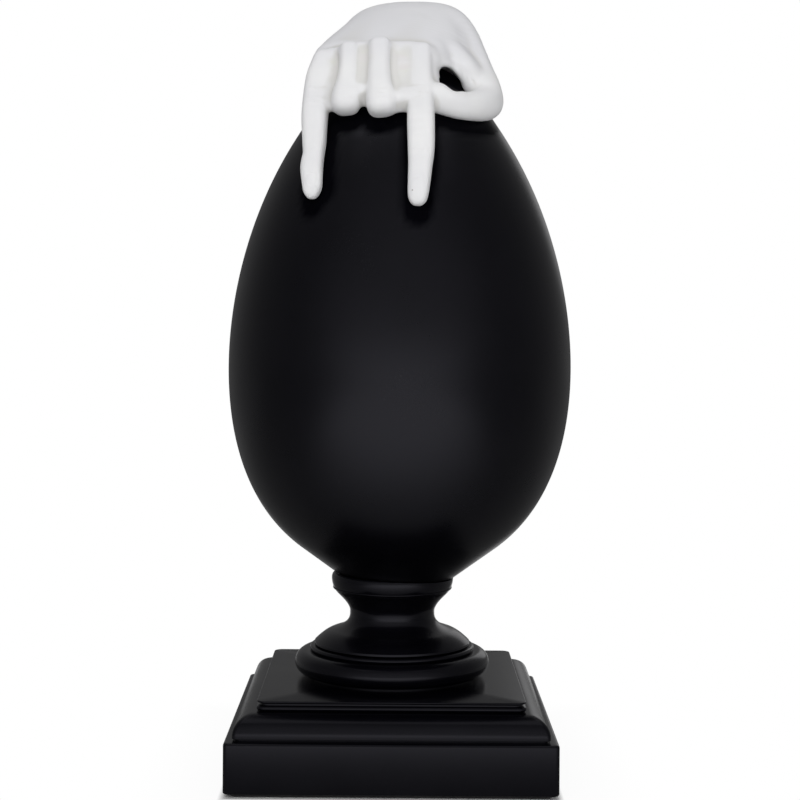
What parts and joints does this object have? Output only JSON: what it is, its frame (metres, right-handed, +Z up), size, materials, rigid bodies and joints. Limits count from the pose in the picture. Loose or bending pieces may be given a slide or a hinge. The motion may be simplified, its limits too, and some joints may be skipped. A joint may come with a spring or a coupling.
{
  "type": "egg sculpture on stand",
  "caption": "Tall black egg on a turned pedestal and square moulded plinth, with a white cast hand draped over its crown; stands on a shelf as an ornament.",
  "frame": {"origin": "middle of the felt's underside, on the surface the ornament stands on", "axes": "+Z up the stand and the egg, -Y towards the viewer and the hanging fingertips, +X to the viewer's right and the thumb"},
  "size_m": [0.2102, 0.2102, 0.4738],
  "materials": {
    "black_resin": "satin",
    "white_resin": "matt cast",
    "fixing_steel": "zinc plated",
    "insert_brass": "turned",
    "felt": "felt"
  },
  "bodies": {
    "root": {"felt_base": "felt", "plinth": "black_resin", "stem": "black_resin", "egg": "black_resin", "foot_insert": "insert_brass", "tie_rod": "fixing_steel", "clamp_washer": "fixing_steel", "lock_washer": "fixing_steel", "clamp_nut": "fixing_steel", "hand": "white_resin", "hand_dowel_1": "fixing_steel", "hand_dowel_2": "fixing_steel"}
  },
  "joints": []
}
